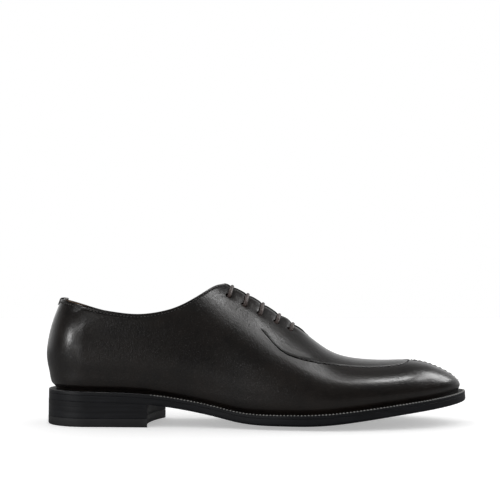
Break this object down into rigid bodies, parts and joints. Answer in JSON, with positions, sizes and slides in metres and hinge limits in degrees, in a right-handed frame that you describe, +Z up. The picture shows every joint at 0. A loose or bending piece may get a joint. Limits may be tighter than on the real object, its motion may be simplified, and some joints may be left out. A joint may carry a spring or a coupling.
{
  "type": "whole cut oxford shoe",
  "caption": "Right whole cut oxford in dark polished calf, with an apron seam, a split toe, a closed lacing and a stacked heel.",
  "frame": {"origin": "middle of the shoe's box in plan, at the floor that it stands on", "axes": "+X along the foot towards the toe, +Y towards the inner side of this right shoe, +Z up"},
  "size_m": [0.3061, 0.106, 0.1012],
  "materials": {
    "upper_leather": "polished dark calf",
    "lining_leather": "matt tan calf",
    "sole_edge": "black inked and waxed leather edge",
    "heel_rubber": "black rubber",
    "waxed_cord": "waxed round lace"
  },
  "bodies": {
    "root": {"upper": "upper_leather", "tongue": "upper_leather", "heel_tab": "upper_leather", "insole": "lining_leather", "welt": "sole_edge", "outsole": "sole_edge", "heel_stack": "sole_edge", "heel_top_piece": "heel_rubber", "lace_bar_1": "waxed_cord", "lace_bar_2": "waxed_cord", "lace_bar_3": "waxed_cord", "lace_bar_4": "waxed_cord", "lace_bar_5": "waxed_cord"}
  },
  "joints": []
}
